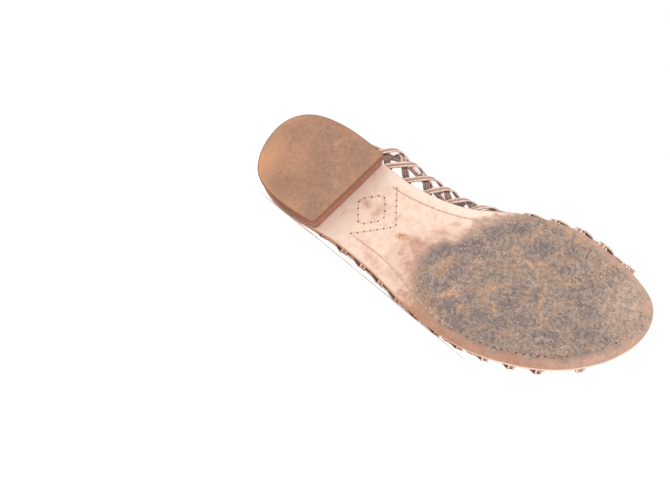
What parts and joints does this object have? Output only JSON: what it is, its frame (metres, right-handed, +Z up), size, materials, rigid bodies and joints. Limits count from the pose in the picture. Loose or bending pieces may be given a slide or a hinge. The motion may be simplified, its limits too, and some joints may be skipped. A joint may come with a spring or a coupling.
{
  "type": "strappy leather sandal",
  "caption": "Flat leather sandal with a cage of crossing metallic straps on a bent leather sole with a low stacked heel, lying on its outer side.",
  "frame": {"origin": "middle of the footprint box on the floor that the sandal lies on", "axes": "+X along the sole towards the toe, -Y is the side that the underside of the sole faces, +Z up; the outer side of the sandal is down"},
  "size_m": [0.2464, 0.083, 0.1033],
  "materials": {
    "outsole": "smooth tanned sole leather, worn and soiled at the forepart",
    "insole": "smooth tan lining leather",
    "heel_stack": "stained stacked leather",
    "top_lift": "matte, lightly worn",
    "strap_leather": "metallic foil, satin, dark on the inner side"
  },
  "bodies": {
    "root": {"outsole": "outsole", "insole": "insole", "heel": "heel_stack", "top_lift": "top_lift", "upper": "strap_leather"}
  },
  "joints": []
}
